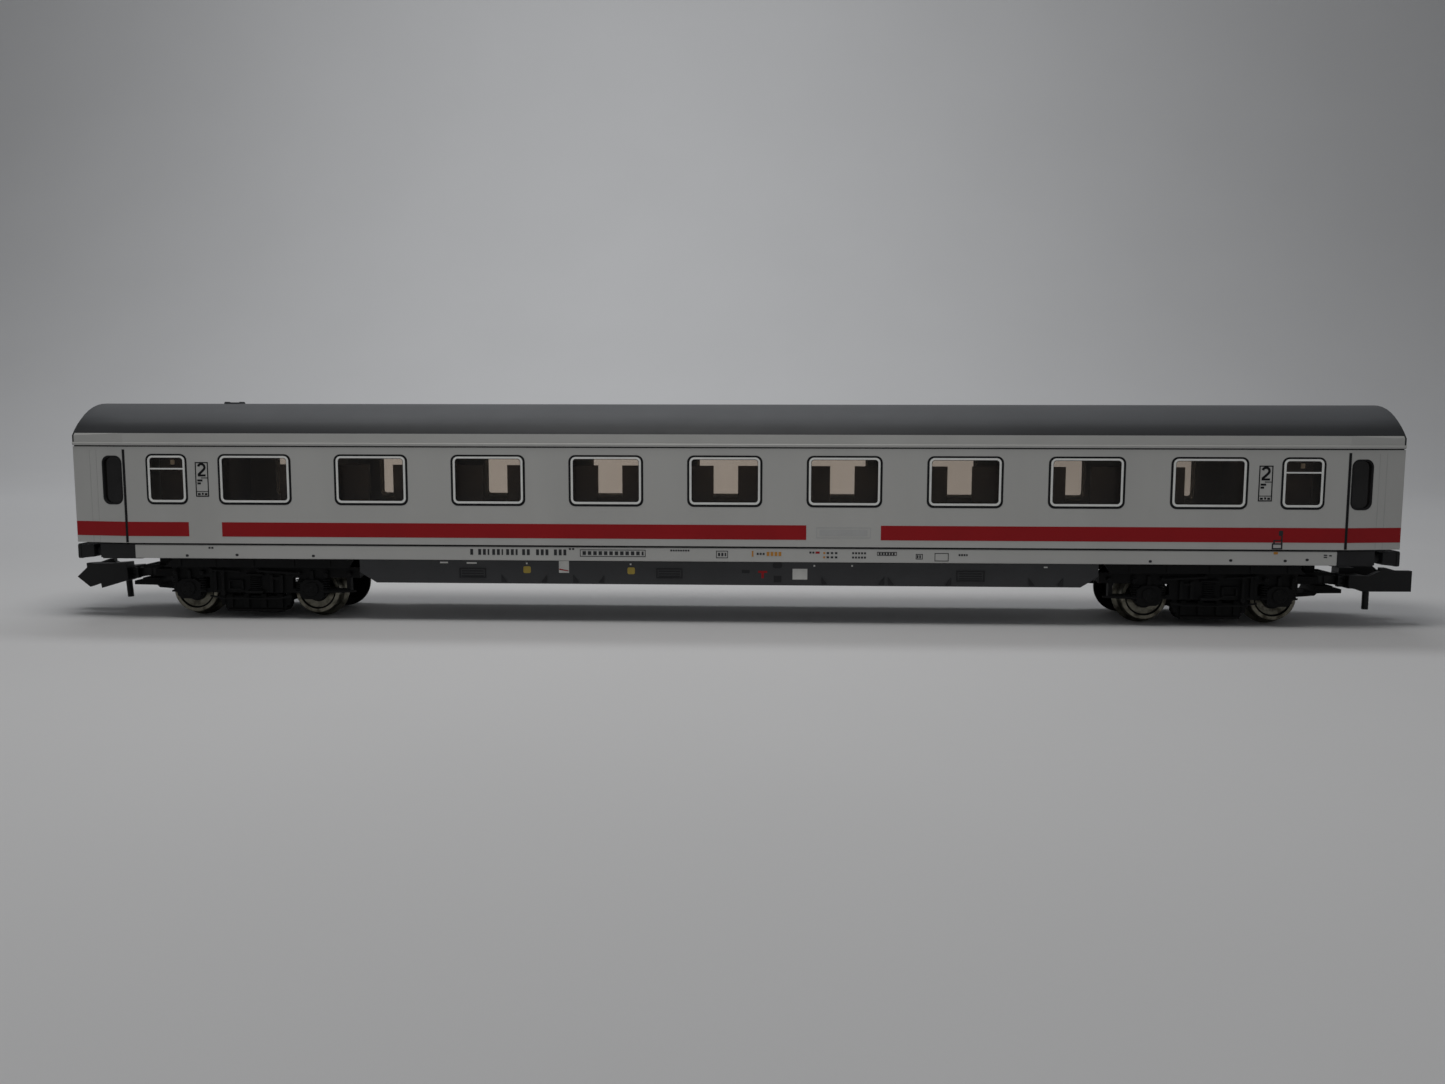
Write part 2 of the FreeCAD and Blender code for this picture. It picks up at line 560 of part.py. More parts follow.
def place_head(body, side):
    """Put a coupler part at its bogie. The left one hangs a little about the lift hinge."""
    if side == "right":
        return place(body, "bogie_middle", side)
    place(body, "bogie_middle+lift_axis-hang_cos*lift_axis-hang_sin*lift_high", side,
          z="lift_high+hang_sin*lift_axis-hang_cos*lift_high")
    droop = FreeCAD.Rotation(FreeCAD.Vector(0, 1, 0), math.degrees(math.asin(SIZE["hang_sin"])))
    body.Placement.Rotation = body.Placement.Rotation.multiply(droop)


def make_head(side):
    """The coupler head: box on the right hand looking outwards, hook on the left hand."""
    body = new_body("coupler_head_" + side)
    prism(body, "XY", "4.1", "1.6", [rounded("coupler_back", "-coupler_half", "20.8", "coupler_half",
                                             "0.2")])
    prism(body, "XY", "5.6", "0.8", [rect("coupler_back+0.1", "0.4", "20.6", "coupler_half-0.1")])
    ears = [rect("17.75", y0, "coupler_back+0.2", y1) for y0, y1 in (("-1.4", "-0.75"), ("0.75", "1.4"))]
    prism(body, "XY", "4.2", "1.4", ears)
    box = [("19.2", "4.15"), ("20.4", "3.72"), ("coupler_front", "3.75"), ("coupler_front", "6.36"),
           ("24.5", "6.36"), ("23.2", "6.73"), ("22.5", "6.73"), ("22.5", "6.36"), ("21.2", "5.7"),
           ("19.2", "5.7")]
    prism(body, "XZ", "-coupler_half", "0.75", [(box, {})])
    prism(body, "XY", "3.85", "2.4", [rect("23", "-coupler_half+0.5", "23.7", "0.2")])
    hook = [("coupler_back+0.1", "4.1"), ("22.3", "3.29"), ("22.37", "3.94"), ("23.83", "3.53"),
            ("25.37", "4.98"), ("23.34", "6.59"), ("20.55", "6.42"), ("coupler_back+0.1", "6.42")]
    prism(body, "XZ", "coupler_half-0.8", "0.8", [(hook, {})])
    prism(body, "XZ", "-2", "4", [disc("lift_axis", "lift_high", "hinge_radius+coupler_play")], True)
    place_head(body, side)
    pin = new_body("coupler_pin_" + side)
    prism(pin, "XY", "1.45", "2.2", [disc("21", "-1.9", "0.39")])
    place_head(pin, side)


def build():
    make_body_shell()
    make_roof()
    make_roof_vent()
    make_glazing("glazing_near", "right")
    make_glazing("glazing_far", "left")
    make_interior()
    make_ballast()
    make_chassis()
    make_skirt()
    make_underfloor()
    for side in ("left", "right"):
        make_buffer_beam(side)
        make_buffer(side, "a", "-buffer_side")
        make_buffer(side, "b", "buffer_side")
        make_gangway(side)
        make_pivot_screw(side)
        make_bogie_frame(side)
        make_brakes(side)
        make_retainer(side)
        make_swing(side)
        make_head(side)
    for number, (middle, offset) in enumerate((("-bogie_middle", "-axle_spacing"),
                                               ("-bogie_middle", "axle_spacing"),
                                               ("bogie_middle", "-axle_spacing"),
                                               ("bogie_middle", "axle_spacing")), 1):
        make_wheelset(number, middle, "right", offset)


def export():
    """Check every object and write each sub-part as STEP."""
    for thing in doc.Objects:
        if "Invalid" in thing.State or "Error" in thing.State:
            raise RuntimeError("%s (%s) did not build: %s" % (thing.Name, thing.Label, thing.State))
    os.makedirs("parts", exist_ok=True)
    for body in PARTS:
        if body.Shape.isNull() or not body.Shape.isValid():
            raise RuntimeError(body.Label + " has no valid shape")
        body.Shape.exportStep("parts/%s.step" % body.Label)


build()
doc.recompute()
export()
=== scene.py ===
"""Studio picture of a 1:160 passenger coach: paint, printing, trim and running gear on the CAD frame.

Lengths in the building code are millimetres and become metres when a mesh is made.
The near side is -Y, the far side +Y. On the far side everything is turned half round, as on the real coach.
"""
import json
import math
import bmesh
import bpy
from mathutils import Matrix, Vector


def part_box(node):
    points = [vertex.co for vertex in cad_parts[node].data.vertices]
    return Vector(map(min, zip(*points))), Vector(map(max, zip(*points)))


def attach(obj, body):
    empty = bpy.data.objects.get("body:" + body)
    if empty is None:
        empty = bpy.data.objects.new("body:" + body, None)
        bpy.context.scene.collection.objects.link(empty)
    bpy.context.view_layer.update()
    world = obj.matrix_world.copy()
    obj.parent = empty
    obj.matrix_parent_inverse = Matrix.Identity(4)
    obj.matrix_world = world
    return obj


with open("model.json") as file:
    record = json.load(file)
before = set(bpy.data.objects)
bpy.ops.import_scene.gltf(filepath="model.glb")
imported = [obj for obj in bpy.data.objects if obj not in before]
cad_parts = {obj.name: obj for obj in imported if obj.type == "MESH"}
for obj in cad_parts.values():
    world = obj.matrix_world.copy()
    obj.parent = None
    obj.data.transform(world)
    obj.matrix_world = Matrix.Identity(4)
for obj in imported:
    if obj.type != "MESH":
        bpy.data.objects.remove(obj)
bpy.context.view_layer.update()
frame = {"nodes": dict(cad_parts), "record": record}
NODES = frame["nodes"]
MM = 0.001
NEAR, FAR = -1, 1


def node_box(name):
    """A CAD node's box in millimetres."""
    low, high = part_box(name)
    return low / MM, high / MM


SHELL_LOW, SHELL_HIGH = node_box("body_shell")
SOLE_FACE = node_box("chassis")[1].y
SKIRT_FACE = node_box("equipment_skirt")[1].y
HALF = SHELL_HIGH.y
END = SHELL_HIGH.x
STRAIGHT = 74.1           # the sides are straight between the doors
END_HALF = 7.85           # half width of the body at its ends
SOLE_HIGH = SHELL_LOW.z - 0.2
SOLE_LOW = 7.75           # underside of the solebars
WELL_FOOT = node_box("bogie_frame_left")[1].z + 0.12
PITCH = 14.445            # spacing of the compartment windows
BOGIE = 59.4              # pivot of each bogie, from the middle
AXLE = 7.8                # axles, from the pivot
AXLE_HIGH = node_box("axle_1")[0].z + 0.75
WHEEL_BACK = node_box("wheel_1_far")[0].y + 0.19
BAND_HIGH = 23.2          # top of the light band on the roof's shoulder
# The roof grows paler towards the crown as a painted highlight, with painted shade on the shoulder below.
CROWN_HIGHLIGHT = (23.9, 25.6)      # heights between which the roof grows paler
ROOF_END_RIM = 0.22       # width of the light rim at each end of the roof


# ---------------------------------------------------------------- materials

def tone(colour, factor):
    """A colour made lighter or darker, with full opacity."""
    return tuple(min(1.0, c * factor) for c in colour) + (1.0,)


class Finish:
    """A procedural material on a Principled shader, built from object coordinates."""

    def __init__(self, name, rough, metal=0.0, level=0.5, coat=0.0):
        self.material = bpy.data.materials.new(name)
        self.material.use_nodes = True
        self.tree = self.material.node_tree
        self.shader = self.tree.nodes["Principled BSDF"]
        self.shader.inputs["Metallic"].default_value = metal
        self.shader.inputs["Specular IOR Level"].default_value = level
        self.shader.inputs["Coat Weight"].default_value = coat
        self.rough = rough
        self.coords = self.node("ShaderNodeTexCoord").outputs["Object"]

    def node(self, kind, **settings):
        """Add a node with the given properties."""
        made = self.tree.nodes.new(kind)
        for key, setting in settings.items():
            setattr(made, key, setting)
        return made

    def link(self, start, end):
        """Join an output to an input."""
        self.tree.links.new(start, end)

    def noise(self, size, detail=3.0, stretch=(1, 1, 1)):
        """Noise whose features are about size millimetres across."""
        place = self.node("ShaderNodeMapping")
        place.inputs["Scale"].default_value = stretch
        self.link(self.coords, place.inputs["Vector"])
        made = self.node("ShaderNodeTexNoise")
        made.inputs["Scale"].default_value = 1 / (size * MM)
        made.inputs["Detail"].default_value = detail
        self.link(place.outputs["Vector"], made.inputs["Vector"])
        return made.outputs["Fac"]

    def ramp(self, source, low, high, at=(0.35, 0.65)):
        """Blend from one colour to another as source rises."""
        made = self.node("ShaderNodeValToRGB")
        stops = made.color_ramp.elements
        stops[0].position, stops[1].position = at
        stops[0].color, stops[1].color = low, high
        self.link(source, made.inputs["Fac"])
        return made.outputs["Color"]

    def mix(self, factor, first, second, mode="MIX"):
        """Blend two colours; each input is an output of another node or a plain value."""
        made = self.node("ShaderNodeMix", data_type="RGBA", blend_type=mode)
        for socket, given in ((0, factor), (6, first), (7, second)):
            if hasattr(given, "is_linked"):
                self.link(given, made.inputs[socket])
            else:
                made.inputs[socket].default_value = given
        return made.outputs[2]

    def colour(self, source):
        """Use source as the base colour."""
        self.link(source, self.shader.inputs["Base Color"])
        return self

    def mottled(self, colour, size, spread, speck=0.0):
        """A base colour that varies softly over size millimetres, with optional fine specks."""
        base = self.ramp(self.noise(size), tone(colour, 1 - spread), tone(colour, 1 + spread), (0.3, 0.7))
        if speck:
            dots = self.ramp(self.noise(0.35, 2.0), (1, 1, 1, 1), tone((1, 1, 1), 1 - speck), (0.62, 0.74))
            base = self.mix(1.0, base, dots, "MULTIPLY")
        return self.colour(base)

    def gloss(self, size=1.5, spread=0.08):
        """Roughness that wanders a little over the surface."""
        scale = self.node("ShaderNodeMapRange")
        scale.inputs["To Min"].default_value = self.rough - spread
        scale.inputs["To Max"].default_value = self.rough + spread
        self.link(self.noise(size, 4.0), scale.inputs["Value"])
        self.link(scale.outputs["Result"], self.shader.inputs["Roughness"])
        return self

    def grain(self, size, height):
        """Fine relief; both measures are in millimetres."""
        bump = self.node("ShaderNodeBump")
        bump.inputs["Strength"].default_value = 1.0
        bump.inputs["Distance"].default_value = height * MM
        self.link(self.noise(size), bump.inputs["Height"])
        self.link(bump.outputs["Normal"], self.shader.inputs["Normal"])
        return self

    def across(self, axis):
        """One object coordinate, in millimetres."""
        split = self.node("ShaderNodeSeparateXYZ")
        self.link(self.coords, split.inputs["Vector"])
        scale = self.node("ShaderNodeMath", operation="MULTIPLY")
        scale.inputs[1].default_value = 1 / MM
        self.link(split.outputs[axis], scale.inputs[0])
        return scale.outputs[0]

    def rise(self, source, low, high):
        """Goes from 0 to 1 as source goes from low to high."""
        made = self.node("ShaderNodeMapRange", interpolation_type="SMOOTHSTEP")
        made.inputs["From Min"].default_value = low
        made.inputs["From Max"].default_value = high
        self.link(source, made.inputs["Value"])
        return made.outputs["Result"]

    def step(self, source, edge, above=True):
        """1 where source is above edge (or below it)."""
        made = self.node("ShaderNodeMath", operation="GREATER_THAN" if above else "LESS_THAN")
        made.inputs[1].default_value = edge
        self.link(source, made.inputs[0])
        return made.outputs[0]

    def times(self, first, second):
        """Product of two outputs."""
        made = self.node("ShaderNodeMath", operation="MULTIPLY")
        self.link(first, made.inputs[0])
        self.link(second, made.inputs[1])
        return made.outputs[0]

    def size_of(self, source):
        """Value without its sign."""
        made = self.node("ShaderNodeMath", operation="ABSOLUTE")
        self.link(source, made.inputs[0])
        return made.outputs[0]


LIGHT = (0.56, 0.56, 0.54)
ROOF = (0.051, 0.0535, 0.0575)


def plain_finish(name, colour, rough, cloud, grain, **surface):
    """A mottled material; cloud is (size, spread, speck) and grain is (size, height)."""
    made = Finish(name, rough, **surface).mottled(colour, *cloud)
    return made.gloss().grain(*grain).material


def shell_paint():
    """Light grey paint with faint streaks where the sides have been handled."""
    made = Finish("light_grey_paint", 0.42)
    streak = made.noise(6.0, 4.0, (1, 1, 0.25))
    base = made.ramp(streak, tone(LIGHT, 0.965), tone(LIGHT, 1.03), (0.3, 0.7))
    cloud = made.ramp(made.noise(22.0, 2.0), tone((1, 1, 1), 0.97), (1, 1, 1, 1), (0.35, 0.65))
    made.colour(made.mix(1.0, base, cloud, "MULTIPLY"))
    return made.gloss(2.5, 0.06).grain(0.16, 0.0022).material


def roof_paint():
    """Dark roof grey with a painted highlight that makes the crown paler and painted shade that darkens the
    shoulder, above a light band with a masked edge at the shoulder.
    """
    made = Finish("roof_paint", 0.6, level=0.35)
    streak = made.noise(5.0, 4.0, (0.35, 1, 1))
    # Painted shade darkens the shoulder tone and a painted highlight lightens the crown tone; the two blend
    # between the crown heights.
    shaded_shoulder = made.ramp(streak, tone(ROOF, 0.66), tone(ROOF, 0.79), (0.3, 0.7))
    lit_crown = made.ramp(streak, tone(ROOF, 1.7), tone(ROOF, 1.93), (0.3, 0.7))
    dark = made.mix(made.rise(made.across("Z"), *CROWN_HIGHLIGHT), shaded_shoulder, lit_crown)
    pale = made.ramp(made.noise(6.0), tone(LIGHT, 0.96), tone(LIGHT, 1.03), (0.3, 0.7))
    in_band = made.step(made.across("Z"), BAND_HIGH, above=False)
    inboard = made.step(made.size_of(made.across("X")), END - ROOF_END_RIM, above=False)
    made.colour(made.mix(made.times(in_band, inboard), dark, pale))
    return made.gloss(3.0, 0.05).grain(0.14, 0.003).material


def glass():
    """Clear moulded styrene with a warm tint."""
    made = Finish("window_glass", 0.06, level=0.5)
    made.shader.inputs["Transmission Weight"].default_value = 1.0
    made.shader.inputs["IOR"].default_value = 1.46
    tint = made.ramp(made.noise(9.0, 2.0), (0.80, 0.73, 0.66, 1), (0.84, 0.77, 0.70, 1))
    made.colour(tint)
    made.shader.inputs["Roughness"].default_value = 0.02
    return made.grain(1.6, 0.0015).material


def turned_metal():
    """Warm nickel plating with patches of dirt; the wheels' backs are blackened."""
    made = Finish("nickel_tyre", 0.34, metal=1.0)
    dull, bright = (0.16, 0.152, 0.121, 1), (0.235, 0.224, 0.181, 1)
    plating = made.ramp(made.noise(0.5), dull, bright, (0.3, 0.7))
    dirt = made.ramp(made.noise(1.1, 4.0), (0.35, 0.34, 0.33, 1), (1, 1, 1, 1), (0.36, 0.5))
    worn = made.mix(1.0, plating, dirt, "MULTIPLY")
    outside = made.step(made.size_of(made.across("Y")), WHEEL_BACK)
    made.colour(made.mix(outside, (0.02, 0.02, 0.021, 1), worn))
    return made.gloss(0.35, 0.1).grain(0.07, 0.006).material


MAT = {"light": shell_paint(), "roof": roof_paint(), "glass": glass(), "nickel": turned_metal()}
PLAIN = {   # key: name, colour, roughness, (cloud size, spread, speck), (grain size, height), surface
    "inside": ("interior_brown", (0.125, 0.102, 0.086),
        0.6, (3.0, 0.12, 0.1), (0.2, 0.008), {}),
    "weight": ("dull_steel", (0.25, 0.25, 0.26),
        0.5, (2.0, 0.15, 0.2), (0.15, 0.01), {"metal": 0.8}),
    "dark": ("anthracite_plastic", (0.039, 0.04, 0.043),
        0.5, (3.0, 0.1, 0.12), (0.14, 0.005), {}),
    "beam": ("buffer_plastic", (0.018, 0.0182, 0.0195),
        0.55, (2.0, 0.12, 0.1), (0.14, 0.005), {"level": 0.35}),
    "rubber": ("black_rubber", (0.012, 0.012, 0.013),
        0.75, (2.0, 0.15, 0.1), (0.2, 0.01), {"level": 0.3}),
    "screw": ("machined_steel", (0.32, 0.32, 0.33),
        0.36, (0.6, 0.12, 0.1), (0.06, 0.006), {"metal": 1.0}),
    "black": ("black_plastic", (0.0052, 0.0053, 0.0056),
        0.62, (2.0, 0.14, 0.15), (0.1, 0.006), {"level": 0.18}),
    "axle": ("blackened_axle", (0.12, 0.12, 0.125),
        0.4, (0.8, 0.15, 0.1), (0.08, 0.005), {"metal": 0.9}),
    "hook": ("coupler_plastic", (0.0105, 0.0106, 0.0112),
        0.5, (1.5, 0.12, 0.1), (0.12, 0.006), {"level": 0.35}),
    "red": ("traffic_red_paint", (0.375, 0.0045, 0.009),
        0.45, (5.0, 0.05, 0.0), (0.16, 0.002), {"level": 0.3}),
    "print_black": ("printed_black", (0.0055, 0.0057, 0.0075),
        0.6, (1.0, 0.1, 0.0), (0.1, 0.001), {"level": 0.3}),
    "smoke": ("smoked_pane", (0.014, 0.0132, 0.0125),
        0.14, (3.0, 0.2, 0.0), (0.4, 0.001), {"coat": 0.2}),
    "shade": ("shaded_paint", (0.47, 0.47, 0.455),
        0.45, (3.0, 0.05, 0.0), (0.16, 0.002), {}),
    "faint": ("faint_panel", (0.50, 0.505, 0.50),
        0.42, (3.0, 0.04, 0.0), (0.16, 0.002), {}),
    # Beige patch of painted light: the lit far side showing through the washroom window.
    "beige": ("beige_plastic", (0.93, 0.83, 0.66),
        0.5, (2.0, 0.06, 0.0), (0.16, 0.003), {}),
    "print_white": ("printed_white", (0.70, 0.70, 0.67),
        0.45, (1.0, 0.05, 0.0), (0.1, 0.001), {}),
    "frame_white": ("window_frame_silver", (0.93, 0.94, 0.91),
        0.32, (1.2, 0.05, 0.0), (0.1, 0.002), {}),
    "print_orange": ("printed_orange", (0.55, 0.24, 0.03),
        0.45, (1.0, 0.06, 0.0), (0.1, 0.001), {}),
    "print_yellow": ("printed_yellow", (0.45, 0.33, 0.05),
        0.45, (1.0, 0.06, 0.0), (0.1, 0.001), {}),
    # Darker than the skirt: painted shade for the skirt's recessed details.
    "recess": ("recessed_grey", (0.021, 0.0215, 0.0235),
        0.6, (1.5, 0.15, 0.1), (0.1, 0.005), {"level": 0.35}),
    "mark": ("printed_grey", (0.018, 0.019, 0.022),
        0.5, (1.0, 0.1, 0.0), (0.1, 0.001), {}),
}
for key, (*settings, surface) in PLAIN.items():
    MAT[key] = plain_finish(*settings, **surface)

SLOT = {"light": "light_grey", "roof": "roof_grey", "glass": "glazing", "nickel": "nickel",
        "inside": "interior_brown", "weight": "weight_steel", "dark": "dark_grey", "rubber": "rubber",
        "screw": "screw_steel", "black": "black", "axle": "axle_steel", "hook": "coupler_black"}
BY_SLOT = {slot: MAT[key] for key, slot in SLOT.items()}
for entry in frame["record"]["subparts"]:
    paint = NODES[entry["node"]].data.materials
    paint.clear()
    beam = entry["node"].startswith("buffer")
    paint.append(MAT["beam"] if beam else BY_SLOT[entry["material_slot"]])


# ---------------------------------------------------------------- geometry

class Shape:
    """Closed solids gathered into one mesh, in millimetres."""

    def __init__(self):
        self.verts = []
        self.faces = []

    def rings(self, rows, loop=False):
        """Skin a list of equal rings; the first and last are capped unless the rings form a loop."""
        start, count = len(self.verts), len(rows[0])
        for row in rows:
            self.verts += [tuple(p) for p in row]
        pairs = range(len(rows) if loop else len(rows) - 1)
        for i in pairs:
            a, b = start + i * count, start + (i + 1) % len(rows) * count
            for j in range(count):
                k = (j + 1) % count
                self.faces.append((a + j, a + k, b + k, b + j))
        if not loop:
            self.faces.append(tuple(range(start, start + count)))
            last = start + (len(rows) - 1) * count
            self.faces.append(tuple(range(last, last + count)))
        return self

    def turned(self, profile, centre, axis, count):
        """Revolve (radius, distance) pairs about an axis through centre."""
        rows = []
        for step in range(count):
            a = 2 * math.pi * step / count
            ring = []
            for r, d in profile:
                u, v = r * math.cos(a), r * math.sin(a)
                spot = {"x": (d, u, v), "y": (u, d, v), "z": (u, v, d)}[axis]
                ring.append(tuple(c + s for c, s in zip(centre, spot)))
            rows.append(ring)
        return self.rings(rows, loop=True)

    def tube(self, path, radius):
        """A round rod along a path of points."""
        count = 10
        points = [Vector(p) for p in path]
        rows = []
        for i, p in enumerate(points):
            before = points[max(i - 1, 0)]
            after = points[min(i + 1, len(points) - 1)]
            along = (after - before).normalized()
            side = along.cross(Vector((0, 0, 1)))
            side = side.normalized() if side.length > 0.1 else Vector((0, 1, 0))
            up = side.cross(along).normalized()
            rows.append([p + (side * math.cos(t) + up * math.sin(t)) * radius
                         for t in (2 * math.pi * n / count for n in range(count))])
        return self.rings(rows)

    def make(self, name, body, material, slot, smooth=None, bevel=0.0):
        """Turn the solids into an object that rides on a body; smooth is an angle in degrees."""
        mesh = bpy.data.meshes.new(name)
        mesh.from_pydata([tuple(c * MM for c in v) for v in self.verts], [], self.faces)
        work = bmesh.new()
        work.from_mesh(mesh)
        bmesh.ops.recalc_face_normals(work, faces=work.faces)
        work.to_mesh(mesh)
        work.free()
        thing = bpy.data.objects.new(name, mesh)
        bpy.context.scene.collection.objects.link(thing)
        mesh.materials.append(MAT[material])
        if bevel:
            soften(thing, bevel)
        if smooth is not None:
            mesh.shade_smooth()
            mesh.set_sharp_from_angle(angle=math.radians(smooth))
        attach(thing, body)


def soften(thing, width, weld=False):
    """Round an object's edges by width millimetres; weld first joins the facets of a CAD node."""
    if weld:
        join = thing.modifiers.new("Join", "WELD")
        join.merge_threshold = 0.002 * MM
        flat = thing.modifiers.new("Flat", "DECIMATE")
        flat.decimate_type = "DISSOLVE"
        flat.angle_limit = math.radians(0.6)
    edge = thing.modifiers.new("Edge", "BEVEL")
    edge.width = width * MM
    edge.segments = 2
    edge.limit_method = "ANGLE"
    edge.angle_limit = math.radians(32)
    edge.harden_normals = False


def skin(x):
    """Half width of the body side at x."""
    t = max(0.0, (abs(x) - STRAIGHT) / (END - STRAIGHT))
    return HALF + (END_HALF - HALF) * t


def on_side(side, x, z, d):
    """A point d outside the body side. On the far side x runs the other way."""
    return (x if side == NEAR else -x, side * (skin(x) + d), z)


def on_panel(side, x, z, d, half):
    """A point d outside a flat panel whose face is at half."""
    return (x if side == NEAR else -x, side * (half + d), z)


def rounded(cx, cz, hw, hh, r, count=6):
    """A rounded rectangle as points in x and z."""
    points = []
    for sx, sz, start in ((1, 1, 0), (-1, 1, 90), (-1, -1, 180), (1, -1, 270)):
        for n in range(count + 1):
            a = math.radians(start + 90 * n / count)
            points.append((cx + sx * (hw - r) + r * math.cos(a), cz + sz * (hh - r) + r * math.sin(a)))
    return points


def frame_ring(shape, side, outer, inner, d0, d1):
    """A picture frame between two loops, standing from d0 to d1."""
    rows = [[on_side(side, x, z, d) for x, z in loop]
            for loop, d in ((outer, d0), (outer, d1), (inner, d1), (inner, d0))]
    shape.rings(rows, loop=True)


def slab(shape, side, loop, d0, d1, half=None):
    """A plate with the given outline, on the body side or on a flat face at half."""
    def at(x, z, d):
        """One corner of the outline at depth d."""
        return on_side(side, x, z, d) if half is None else on_panel(side, x, z, d, half)

    shape.rings([[at(x, z, d) for x, z in loop] for d in (d0, d1)])


def oblong(x0, x1, z0, z1):
    """A plain rectangle as points in x and z."""
    return [(x0, z0), (x1, z0), (x1, z1), (x0, z1)]


def band(shape, side, x0, x1, z0, z1, d0, d1):
    """A long strip that follows the side round the bend at the doors."""
    stops = [x0] + [x for x in (-STRAIGHT, STRAIGHT) if x0 < x < x1] + [x1]
    shape.rings([[on_side(side, x, z, d) for z, d in ((z0, d0), (z1, d0), (z1, d1), (z0, d1))]
                 for x in stops])


def outline(shape, side, x0, x1, z0, z1, line, d0, d1, half=None):
    """A thin rectangular outline."""
    for loop in (oblong(x0, x1, z0, z0 + line), oblong(x0, x1, z1 - line, z1),
                 oblong(x0, x0 + line, z0 + line, z1 - line), oblong(x1 - line, x1, z0 + line, z1 - line)):
        slab(shape, side, loop, d0, d1, half)


def ribbon(shape, side, path, width, d0, d1):
    """A stroke of constant width along points in x and z."""
    rows = []
    for i, (x, z) in enumerate(path):
        px, pz = path[max(i - 1, 0)]
        nx, nz = path[min(i + 1, len(path) - 1)]
        length = math.hypot(nx - px, nz - pz)
        ux, uz = -(nz - pz) / length * width / 2, (nx - px) / length * width / 2
        rows.append([on_side(side, x + s * ux, z + s * uz, d)
                     for s, d in ((1, d0), (1, d1), (-1, d1), (-1, d0))])
    shape.rings(rows)


SIDES = (("near", NEAR), ("far", FAR))
WINDOWS = [k * PITCH for k in range(-4, 5)]
WASHROOMS = (-68.77, 68.77)
WINDOW_MIDDLE = 17.56
WINDOW_TALL = 3.12              # half height of a window with its outline
WINDOW_WIDTHS = (4.56, 4.28, 4.03)     # half widths of the outline, the frame and the clear pane
WASHROOM_WIDTHS = (2.58, 2.32, 2.07)
DOOR = 75.74                    # middle of the door panes
DOOR_MIDDLE = 17.42
STRIPE = (10.5, 12.27)          # foot and head of the red band
BOARD = 64.36                   # middle of the class boards
SUNK = -0.02                    # inner face of thin marks, just below the paint
PRINT = 0.018                   # outer face of printed marks
OVERPRINT = PRINT + 0.012       # outer face of marks printed across others


def window_frames(label, side):
    """Black outline, partly print and partly painted shade of the gap round each pane, pale frame and dark
    inner gasket of every window on one side.
    """
    black, pale, gasket = Shape(), Shape(), Shape()
    spots = [(x, WINDOW_WIDTHS) for x in WINDOWS] + [(x, WASHROOM_WIDTHS) for x in WASHROOMS]
    middle, tall = WINDOW_MIDDLE, WINDOW_TALL
    for x, (wide_out, wide_mid, wide_in) in spots:
        edge = rounded(x, middle, wide_out, tall, 0.82)
        rim = rounded(x, middle + 0.035, wide_mid, tall - 0.26, 0.6)
        clear = rounded(x, middle + 0.05, wide_in, tall - 0.51, 0.38)
        inside = rounded(x, middle + 0.05, wide_in - 0.06, tall - 0.57, 0.34)
        # The black outline is partly printed black and partly painted shade in the gap round the pane.
        frame_ring(black, side, edge, rim, -0.05, PRINT)
        frame_ring(pale, side, rim, clear, -0.05, 0.05)
        frame_ring(gasket, side, clear, inside, -0.05, 0.0)
        if x in WASHROOMS:
            slab(pale, side, oblong(x - 2.05, x + 2.05, 18.76, 18.94), -0.05, 0.05)
            slab(gasket, side, oblong(x - 2.03, x + 2.03, 18.68, 18.76), -0.05, 0.0)
    black.make("window_outline_and_gap_shade_" + label, "coach", "print_black", "rubber", 35)
    pale.make("window_frame_" + label, "coach", "frame_white", "light_grey", 35)
    gasket.make("window_gasket_" + label, "coach", "rubber", "rubber", 35)


def stripe(label, side):
    """The red band, with a gap near one end and another right of the middle."""
    red = Shape()
    for x0, x1 in ((-END + 0.02, -66.26), (-62.1, 9.9), (18.9, END - 0.02)):
        band(red, side, x0, x1, *STRIPE, SUNK, PRINT)
    red.make("red_stripe_" + label, "coach", "red", "light_grey")


def doors(label, side):
    """Door joints, door panes with rubber surrounds, and fine creases beside the ends drawn as strips of
    painted shade.
    """
    joint, pane, seal, fine = Shape(), Shape(), Shape(), Shape()
    for sign in (-1, 1):
        band(joint, side, *sorted((sign * (STRAIGHT - 0.16), sign * (STRAIGHT + 0.16))), 9.7, 21.2,
             -0.05, 0.03)
        x = sign * DOOR
        outer = rounded(x, DOOR_MIDDLE, 1.36, 3.02, 0.92)
        inner = rounded(x, DOOR_MIDDLE, 1.16, 2.82, 0.78)
        frame_ring(seal, side, outer, inner, -0.45, 0.02)
        slab(pane, side, rounded(x, DOOR_MIDDLE, 1.2, 2.86, 0.8), -0.5, -0.28)
        # Thin strips in shaded paint: painted shade in the engraved creases beside each door.
        for mark in (77.8, 78.7):
            band(fine, side, *sorted((sign * mark, sign * (mark + 0.07))), 9.75, 21.1, -0.05, 0.012)
    joint.make("door_joint_" + label, "coach", "print_black", "rubber")
    seal.make("door_seal_" + label, "coach", "rubber", "rubber", 35)
    pane.make("door_pane_" + label, "coach", "smoke", "glazing", 35)
    fine.make("door_crease_shade_" + label, "coach", "shade", "light_grey")


def numeral_two(x, z, wide, tall):
    """A centre line for the figure 2."""
    path = []
    r = wide / 2
    for n in range(13):
        a = math.radians(165 - 205 * n / 12)
        path.append((x + r * math.cos(a), z + tall - r + r * math.sin(a)))
    path += [(x + r * 0.35, z + tall * 0.42), (x - r * 0.55, z + tall * 0.18), (x - r * 0.98, z + 0.1)]
    return path


